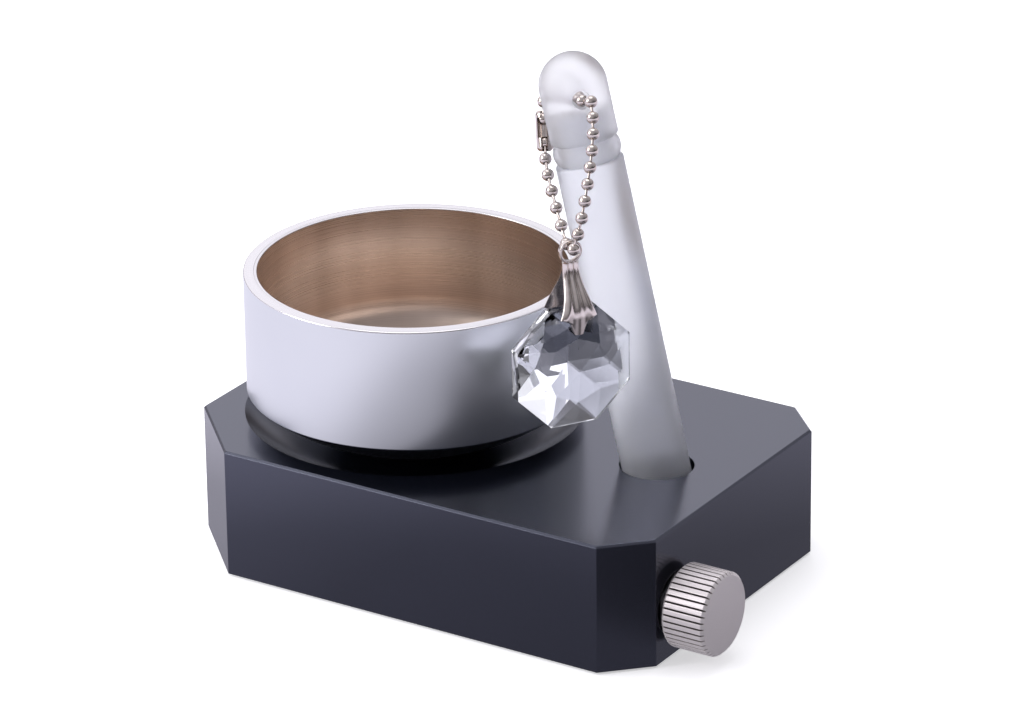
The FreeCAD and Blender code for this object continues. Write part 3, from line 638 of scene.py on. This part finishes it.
def makeChain():
    nickel = brightNickel("brightNickel", chain["base"], chain["rough"])
    radius, dimple = chain["beadRadius"], chain["dimpleRadius"]
    start = math.asin(dimple / radius)
    angle = np.linspace(start, math.pi - start, chain["beadRows"])
    ball = np.stack([radius * np.sin(angle), -radius * np.cos(angle)], 1)
    depth = radius * math.cos(start)
    lip = chain["dimpleDepth"]
    bottom = [(0, -depth + lip), (dimple - lip / 2, -depth + lip)]
    profile = np.concatenate([bottom, ball, [(r, -z) for r, z in bottom[::-1]]])
    for name, node, centres, body in (
            ("capBeads", "chain_top_beads", topBeads, "cap"),
            ("chainBeads", "chain_beads", centresOf("chain_beads"), "chain")):
        piece = turnedCopies(name, profile, centres, beadWays(centres), chain["beadSegments"])
        finishPiece(piece, body, node, [nickel])

    # a link narrows to its middle: r = linkRadius (waist + (1 - waist) t squared)
    turn = np.linspace(-1, 1, chain["linkRows"])
    narrow = chain["linkRadius"] * (chain["waist"] + (1 - chain["waist"]) * turn ** 2)
    for name, node, body in (("capLinks", "chain_top_links", "cap"),
                             ("chainLinks", "chain_links", "chain")):
        centres, ways, length = [], [], 0
        for group in solidsOf(node):
            middle = (group.min(0) + group.max(0)) / 2
            spread = np.linalg.svd(group - group.mean(0))[2][0]
            run = (group - middle) @ spread
            ends = [group[run > 0].mean(0), group[run < 0].mean(0)]
            centres.append((ends[0] + ends[1]) / 2)
            ways.append(ends[0] - ends[1])
            length = max(length, np.linalg.norm(ends[0] - ends[1]))
        half = length / 2
        wire = np.stack([narrow, turn * half], 1)
        wire = np.concatenate([[(0, -half)], wire, [(0, half)]])
        piece = turnedCopies(name, wire, centres, ways, chain["linkSegments"])
        finishPiece(piece, body, node, [nickel])
    giveMaterial("chain_sleeve", nickel)


makeChain()
print("chain made")

bail = {
    "eyeInner": 1.8 * mm, "eyeOuter": 2.3 * mm, "eyeHalf": 0.55 * mm, "eyeRound": 0.2 * mm,
    "top": 2.1 * mm,             # where the leaves leave the eye, below its centre
    "corner": 11.9 * mm,         # where each leaf is widest
    "shoulder": 12.8 * mm,
    "topHalf": 1.65 * mm, "cornerHalf": 3.7 * mm, "shoulderHalf": 1.8 * mm, "tipHalf": 0.95 * mm,
    "flare": 3.45 * mm, "nip": 3.15 * mm, "thickness": 0.55 * mm, "rib": 0.32 * mm,
    "edgeThickness": 0.15 * mm,
    "edgePower": 12,             # how late the thickness falls off toward the edges
    "rows": (40, 6, 14),         # down to the corner, the shoulder and the tip
    "columns": 61,
    "pegDrop": 14.1 * mm, "pegRadius": 0.6 * mm, "pegEnd": 0.4 * mm,
    "pegTipRound": 0.15 * mm, "pegFootRound": 0.1 * mm,
    "crease": 50,
    "base": "#d3c8c2",
    "rough": (0.16, 0.28),
}


def leafSheet(side, tip):
    # a grid over both faces of a leaf: y runs across, the outer face stands out by
    # thickness + rib (1 + cos(3 pi y / half)) / 2, and the way out is a half cosine of the drop
    upper, middle, lower = bail["rows"]
    drops = np.concatenate([np.linspace(bail["top"], bail["corner"], upper),
                            np.linspace(bail["corner"], bail["shoulder"], middle)[1:],
                            np.linspace(bail["shoulder"], tip, lower)[1:]])
    share = np.clip((drops - bail["top"]) / (bail["corner"] - bail["top"]), 0, 1)
    full = bail["topHalf"] + (bail["cornerHalf"] - bail["topHalf"]) * share ** 2
    half = np.interp(drops, [bail["corner"], bail["shoulder"], tip],
                     [bail["cornerHalf"], bail["shoulderHalf"], bail["tipHalf"]])
    half = np.where(drops < bail["corner"], full, half)
    out = bail["flare"] * (1 - np.cos(np.pi * share)) / 2
    past = np.clip((drops - bail["corner"]) / (tip - bail["corner"]), 0, 1)
    out = out - (bail["flare"] - bail["nip"]) * past
    across = np.linspace(-1, 1, bail["columns"])
    y = across[None, :] * half[:, None]
    body = 1 - np.abs(across) ** bail["edgePower"]
    ribs = bail["rib"] * (1 + np.cos(3 * np.pi * y / full[:, None])) / 2
    thin = bail["edgeThickness"]
    outer = out[:, None] + thin + (bail["thickness"] - thin + ribs) * body[None, :]
    inner = np.repeat(out[:, None], len(across), 1)
    x = side * np.concatenate([outer, inner[:, ::-1]], 1)
    y = np.concatenate([y, y[:, ::-1]], 1)
    z = np.repeat(-drops[:, None], x.shape[1], 1)
    rows, columns = x.shape
    points = np.stack([x, y, z], -1).reshape(-1, 3)
    faces = gridFaces(rows, columns).tolist()
    for start in (0, (rows - 1) * columns):
        ring = list(range(start, start + columns))
        faces += [[ring[n], ring[n + 1], ring[-n - 2], ring[-n - 1]]
                  for n in range(columns // 2 - 1)]
    return points, faces


def joined(name, pieces):
    # one piece made of several, which are dropped
    work = bmesh.new()
    for piece in pieces:
        work.from_mesh(piece.data)
        bpy.data.objects.remove(piece)
    mesh = bpy.data.meshes.new(name)
    work.to_mesh(mesh)
    work.free()
    return newPiece(name, mesh)


def makeBail():
    low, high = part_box("bail")
    along = -Vector(joints["bail_swing"]["axis"])
    centre = Vector(((low.x + high.x) / 2, (low.y + high.y) / 2, high.z - bail["eyeOuter"]))
    place = Matrix.Translation(centre) @ Matrix.Rotation(math.atan2(along.y, along.x), 4, "Z")
    tip = centre.z - low.z
    half, soft = bail["eyeHalf"], bail["eyeRound"]
    eye = rounded([(bail["eyeInner"], 0, 0), (bail["eyeInner"], half, soft),
                   (bail["eyeOuter"], half, soft), (bail["eyeOuter"], -half, soft),
                   (bail["eyeInner"], -half, soft), (bail["eyeInner"], 0, 0)])
    lieDown = Matrix.Rotation(math.pi / 2, 4, "Y")
    pieces = [spin("eye", eye, place @ lieDown, segments=64)]
    reach = bail["nip"] + bail["thickness"]
    peg = rounded([(0, bail["pegEnd"], 0),
                   (bail["pegRadius"], bail["pegEnd"], bail["pegTipRound"]),
                   (bail["pegRadius"], reach, bail["pegFootRound"]), (0, reach, 0)])
    for side in (-1, 1):
        points, faces = leafSheet(side, tip)
        sheet = meshFrom("leaf", points, faces)
        weld(sheet, bail["crease"])
        sheet.data.transform(place)
        pieces.append(sheet)
        turn = Matrix.Rotation(side * math.pi / 2, 4, "Y")
        lower = Matrix.Translation((0, 0, -bail["pegDrop"]))
        pieces.append(spin("peg", peg, place @ lower @ turn, segments=32))
    nickel = brightNickel("brightNickelBail", bail["base"], bail["rough"])
    finishPiece(joined("bailBody", pieces), "bail", "bail", [nickel])


makeBail()
print("bail made")

knob = {
    "teeth": 40,
    "grooveDepth": 0.5 * mm,
    "grooveShare": 0.34,         # the part of each ridge and groove pair that is groove
    "crown": 0.06 * mm,          # how far a ridge is rounded across
    "bevel": 0.6 * mm,
    "round": 0.12 * mm,
    "samples": 14,               # points round each ridge
    "rowStep": 0.7 * mm,         # the widest gap between rows
    "arcSteps": 4,               # along each rounded corner
    "crease": 40,
}


def turnedNickel(centre):
    # satin nickel on a turned face: fine rings about the knob's own axis, and painted shade in the
    # grooves, where the surface is shut in
    settings = {"dark": "#ddd6d7", "pale": "#e8e1e2", "lineMm": 0.25, "rough": (0.36, 0.5),
                "bump": 0.15, "bumpMm": 0.02, "grooveShade": "#3d322b", "grooveShadeMm": 0.7,
                "shut": 0.45, "open": 0.8, "metal": 0.45}
    material, tree, place = newMaterial("turnedNickel")
    about = addNode(tree, "ShaderNodeMapping", {}, {
        "Vector": (place, "Object"), "Location": (0, -centre.y, -centre.z)})
    parts = addNode(tree, "ShaderNodeSeparateXYZ", {}, {0: (about, 0)})
    flat = addNode(tree, "ShaderNodeCombineXYZ", {}, {"X": (parts, "Y"), "Y": (parts, "Z")})
    radius = addNode(tree, "ShaderNodeVectorMath", {"operation": "LENGTH"}, {0: (flat, 0)})
    lines = addNode(tree, "ShaderNodeTexNoise", {"noise_dimensions": "1D"}, {
        "W": (radius, "Value"), "Scale": 1 / (settings["lineMm"] * mm), "Detail": 2.0})
    colour = addNode(tree, "ShaderNodeValToRGB", {}, {"Fac": (lines, 0)}, [
        (0, linear(settings["dark"])), (1, linear(settings["pale"]))])
    # painted shade: where ambient occlusion finds the surface shut in, the colour goes to a dark
    # brown
    shut = addNode(tree, "ShaderNodeAmbientOcclusion", {"samples": 8}, {
        "Distance": settings["grooveShadeMm"] * mm})
    unshaded = addNode(tree, "ShaderNodeMapRange", {}, {
        "Value": (shut, "AO"), "From Min": settings["shut"], "From Max": settings["open"]})
    grooveShaded = addNode(tree, "ShaderNodeMix", {"data_type": "RGBA"}, {
        "Factor": (unshaded, 0), "A": linear(settings["grooveShade"]), "B": (colour, 0)})
    shader = addNode(tree, "ShaderNodeBsdfPrincipled", {}, {
        "Base Color": (grooveShaded, "Result"), "Metallic": settings["metal"],
        **textured(tree, lines, settings["rough"], settings["bump"], settings["bumpMm"])})
    closeMaterial(tree, shader)
    return material


def makeKnob():
    low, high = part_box("knob")
    radius = (high.z - low.z) / 2
    length = high.x - low.x
    centre = Vector((low.x, (low.y + high.y) / 2, (low.z + high.z) / 2))
    count = knob["teeth"] * knob["samples"]
    angle = np.linspace(0, 2 * np.pi, count, endpoint=False)
    # groove depth falls as a raised cosine over its own share of each tooth, and the rest
    # of the tooth is a shallow parabola
    share = knob["grooveShare"]
    phase = np.abs((angle * knob["teeth"] / (2 * np.pi) + 0.5) % 1 - 0.5) * 2
    groove = np.where(phase < share, 0.5 + 0.5 * np.cos(np.pi * phase / share), 0)
    crown = knob["crown"] * ((phase - share) / (1 - share) - 0.5) ** 2
    limit = radius - knob["grooveDepth"] * groove - np.where(groove > 0, 0, crown)
    bevel, soft = knob["bevel"], knob["round"]
    path = rounded([(0, 0, 0), (radius - bevel, 0, soft), (radius, bevel, soft),
                    (radius, length - bevel, soft), (radius - bevel, length, soft),
                    (0, length, 0)], knob["arcSteps"])
    # extra rows across the flat ends, so that the grooves' feet stay crisp
    rows = [path[0]]
    for before, after in zip(path[:-1], path[1:]):
        steps = max(1, int(np.linalg.norm(after - before) / knob["rowStep"]))
        rows += [before + (after - before) * (step + 1) / steps for step in range(steps)]
    rows = np.array(rows)
    around = np.minimum(rows[:, :1], limit[None, :])
    points = np.stack([np.repeat(rows[:, 1:], count, 1), around * np.cos(angle),
                       around * np.sin(angle)], -1).reshape(-1, 3)
    piece = meshFrom("knobBody", points, gridFaces(len(rows), count).tolist())
    weld(piece, knob["crease"])
    piece.data.transform(Matrix.Translation(centre))
    finishPiece(piece, "knob", "knob", [turnedNickel(centre)])


makeKnob()
print("knob made")


plainFinishes = {
    # dark and pale colour, metallic, rough, grainMm, bumpMm, and the CAD nodes that have it
    "zincedSteel": ("#8f9194", "#a9abad", 1.0, 0.32, 0.5, 0.01, (
        "bottom_screws", "board_spacers", "board_screws", "knob_screw", "control_nut",
        "control_washer", "control_shaft")),
    "tinnedSteel": ("#a2a4a6", "#bcbec0", 1.0, 0.28, 0.4, 0.01, ("power_inlet", "control_body")),
    "nickelledBrass": ("#a79a7c", "#bdb08f", 1.0, 0.25, 0.4, 0.01, ("control_bushing",)),
    "feltPad": ("#26272a", "#35363a", 0.0, 0.85, 0.25, 0.08, ("resting_pad", "dish_seat_pad")),
    "mouldedNylon": ("#d5d2c6", "#e2dfd4", 0.0, 0.5, 0.6, 0.01, ("coil_bobbin",)),
    "enamelledCopper": ("#9c4f23", "#c06a33", 1.0, 0.3, 0.4, 0.03, ("coil_winding",)),
    "ferrite": ("#26272b", "#3a3b40", 0.0, 0.6, 0.4, 0.02, ("coil_core",)),
    "glassLaminate": ("#114a2b", "#1a5d38", 0.0, 0.4, 0.5, 0.01, ("driver_board",)),
    "shrinkSleeve": ("#1d1f2c", "#272a3a", 0.0, 0.35, 0.6, 0.01, ("capacitors",)),
    "mouldedResin": ("#17181a", "#232427", 0.0, 0.5, 0.3, 0.01, ("power_switches",)),
}


def finishNodes():
    # the CAD nodes that stay as they are each get the finish of what they are made of
    anodised = anodisedBlack()
    giveMaterial("housing", anodised)
    giveMaterial("bottom_plate", anodised)
    giveMaterial("crystal", cutCrystal())
    for name, (*look, wearers) in plainFinishes.items():
        material = plainFinish(name, *look)
        for node in wearers:
            giveMaterial(node, material)


finishNodes()
print("finishes given")

camera = {
    "azimuth": 32.603, "elevation": 23.354, "roll": -0.762, "distance": 1066.69 * mm,
    "target": Vector((0, 6.48, 36.90)) * mm, "lens": 195.013, "sensor": 36.0, "nearest": 0.01,
}


def setCamera():
    # looks along -back; back = (sin a cos e, -cos a cos e, sin e), right = (cos a, sin a, 0)
    azimuth = math.radians(camera["azimuth"])
    elevation = math.radians(camera["elevation"])
    roll = math.radians(camera["roll"])
    back = Vector((math.sin(azimuth) * math.cos(elevation),
                   -math.cos(azimuth) * math.cos(elevation), math.sin(elevation)))
    right = Vector((math.cos(azimuth), math.sin(azimuth), 0))
    up = back.cross(right)
    rolled = right * math.cos(roll) + up * math.sin(roll)
    risen = up * math.cos(roll) - right * math.sin(roll)
    place = Matrix((rolled, risen, back)).transposed().to_4x4()
    place.translation = camera["target"] + back * camera["distance"]
    lens = bpy.data.cameras.new("camera")
    lens.lens = camera["lens"]
    lens.sensor_width = camera["sensor"]
    lens.clip_start = camera["nearest"]
    eye = bpy.data.objects.new("camera", lens)
    eye.matrix_world = place
    bpy.context.scene.collection.objects.link(eye)
    bpy.context.scene.camera = eye


light = {
    "left": {"power": 4.0, "size": (0.5, 0.6), "place": (-0.62, -0.62, 0.45)},
    "top": {"power": 2.0, "size": (0.6, 0.6), "place": (-0.1, 0.15, 0.95)},
    "middle": Vector((0, 0, 0.04)),         # where the lamps point
    "dimWay": Vector((0.976, -0.214, 0)),   # the side of the room that has no window
    "tint": (0.985, 0.97, 1.045),
    "room": 1.0,
    "throughGlass": 0.7,         # how far the room seen through glass goes towards white
    "wall": "#4a3d36",
    "wallTop": (0.08, 0.22),     # the heights of a way between which the dark wall fades
    "shades": ((0.0, 1.2), (0.15, 1.25), (0.35, 0.8), (0.67, 0.5), (0.85, 0.4),
               (0.95, 0.2), (1.0, 0.1)),
    "darkPlace": (115 * mm, -45 * mm, 0),   # where the floor's mirror image is darkest
    "farthest": 200 * mm,        # the distance at which the floor's shades end
    "floorShades": ((0.0, 0.1), (0.15, 0.12), (0.22, 0.2), (0.28, 0.46), (0.45, 0.52),
                    (0.65, 0.62), (0.85, 1.0), (1.0, 1.1)),
    # painted shadow: the floor's mirror image is darker beside the object's foot
    "nearShades": ((0.36, 0.6), (0.56, 1.0)),   # darker beside the object's foot
}
floor = {"half": 3.0, "dark": "#f4f4f6", "pale": "#f8f8fa", "grainMm": 4, "glow": 0.5}


def setLights():
    for name in ("left", "top"):
        said = light[name]
        lamp = bpy.data.lights.new(name, "AREA")
        lamp.shape = "RECTANGLE"
        lamp.size, lamp.size_y = said["size"]
        lamp.energy = said["power"]
        holder = bpy.data.objects.new(name, lamp)
        holder.location = said["place"]
        way = light["middle"] - holder.location
        holder.rotation_euler = way.to_track_quat("-Z", "Y").to_euler()
        bpy.context.scene.collection.objects.link(holder)


def shadeRamp(tree, share, shades):
    # a grey ramp through (place, level) stops, a touch bluer than grey
    return addNode(tree, "ShaderNodeValToRGB", {}, {0: share}, [
        (place, (*(level * tint for tint in light["tint"]), 1)) for place, level in shades])


def roomShade(tree, way):
    # brightness of the room by direction: a ramp over (1 + way . dimWay) / 2
    side = addNode(tree, "ShaderNodeVectorMath", {"operation": "DOT_PRODUCT"}, {
        0: way, 1: light["dimWay"]})
    spread = addNode(tree, "ShaderNodeMapRange", {}, {
        "Value": (side, "Value"), "From Min": -1.0, "From Max": 1.0})
    return shadeRamp(tree, (spread, 0), light["shades"])


def floorShade(tree, place):
    # brightness of the floor's mirror image by the distance from a dark place beside the object,
    # times a painted shadow by the distance from the object's middle
    sides = []
    for start, shades in ((light["darkPlace"], light["floorShades"]),
                          ((0, 0, 0), light["nearShades"])):
        far = addNode(tree, "ShaderNodeVectorMath", {"operation": "DISTANCE"}, {
            0: place, 1: start})
        share = addNode(tree, "ShaderNodeMath", {"operation": "DIVIDE", "use_clamp": True}, {
            0: (far, "Value"), 1: light["farthest"]})
        sides.append((shadeRamp(tree, (share, 0), shades), 0))
    return addNode(tree, "ShaderNodeMix", {"data_type": "RGBA", "blend_type": "MULTIPLY"}, {
        "Factor": 1.0, "A": sides[0], "B": sides[1]})


def whiteSeen(tree):
    # 1 where the camera looks straight, and a part of that where it looks through glass,
    # unless a mirror lies between
    path = addNode(tree, "ShaderNodeLightPath")
    direct = addNode(tree, "ShaderNodeMath", {"operation": "LESS_THAN"}, {
        0: (path, "Glossy Depth"), 1: 0.5})
    through = addNode(tree, "ShaderNodeMath", {"operation": "MULTIPLY"}, {
        0: (path, "Is Transmission Ray"), 1: (direct, 0)})
    part = addNode(tree, "ShaderNodeMath", {"operation": "MULTIPLY"}, {
        0: (through, 0), 1: light["throughGlass"]})
    return path, addNode(tree, "ShaderNodeMath", {"operation": "MAXIMUM"}, {
        0: (path, "Is Camera Ray"), 1: (part, 0)})


def setWorld():
    # white where the camera looks and through glass, otherwise the room
    world = bpy.data.worlds.new("room")
    bpy.context.scene.world = world
    world.use_nodes = True
    tree = world.node_tree
    tree.nodes.clear()
    way = addNode(tree, "ShaderNodeTexCoord")
    ramp = roomShade(tree, (way, "Generated"))
    # below the windows runs a dark warm wall: dark where the way's height lies in the band
    parts = addNode(tree, "ShaderNodeSeparateXYZ", {}, {0: (way, "Generated")})
    band = addNode(tree, "ShaderNodeValToRGB", {}, {0: (parts, "Z")}, [
        (light["wallTop"][0], linear(light["wall"])), (light["wallTop"][1], (1, 1, 1, 1))])
    path, seen = whiteSeen(tree)
    mirrors = addNode(tree, "ShaderNodeMath", {"operation": "SUBTRACT"}, {
        0: 1.0, 1: (path, "Is Transmission Ray")})
    walled = addNode(tree, "ShaderNodeMix", {"data_type": "RGBA", "blend_type": "MULTIPLY"}, {
        "Factor": (mirrors, 0), "A": (ramp, 0), "B": (band, 0)})
    room = addNode(tree, "ShaderNodeBackground", {}, {
        "Color": (walled, "Result"), "Strength": light["room"]})
    white = addNode(tree, "ShaderNodeBackground", {}, {"Color": (1, 1, 1, 1), "Strength": 1.0})
    mixed = addNode(tree, "ShaderNodeMixShader", {}, {0: (seen, 0), 1: (room, 0), 2: (white, 0)})
    addNode(tree, "ShaderNodeOutputWorld", {}, {"Surface": (mixed, 0)})


def setFloor():
    # white paper: plain white to the camera where no shadow falls, and the room's own shade,
    # by the way it lies from the object, to whatever mirrors it
    half = floor["half"]
    corners = [(-half, -half, 0), (half, -half, 0), (half, half, 0), (-half, half, 0)]
    piece = meshFrom("floor", corners, [(0, 1, 2, 3)])
    piece.data.transform(Matrix.Translation((0, 0, cadLow.z)))
    material, tree, place = newMaterial("whitePaper")
    colour = mottled(tree, place, floor["grainMm"], floor["dark"], floor["pale"])
    matt = addNode(tree, "ShaderNodeBsdfDiffuse", {}, {"Color": (colour, 0)})
    glow = addNode(tree, "ShaderNodeEmission", {}, {
        "Color": (1, 1, 1, 1), "Strength": floor["glow"]})
    added = addNode(tree, "ShaderNodeAddShader", {}, {0: (matt, 0), 1: (glow, 0)})
    shade = floorShade(tree, (place, "Object"))
    mirrored = addNode(tree, "ShaderNodeEmission", {}, {
        "Color": (shade, "Result"), "Strength": 1.0})
    path, seen = whiteSeen(tree)
    first = addNode(tree, "ShaderNodeMixShader", {}, {
        0: (path, "Is Glossy Ray"), 1: (matt, 0), 2: (mirrored, 0)})
    mixed = addNode(tree, "ShaderNodeMixShader", {}, {
        0: (seen, 0), 1: (first, 0), 2: (added, 0)})
    closeMaterial(tree, mixed)
    piece.data.materials.append(material)


setCamera()
setLights()
setWorld()
setFloor()
bpy.context.scene.view_settings.view_transform = "Standard"

print("scene ready")
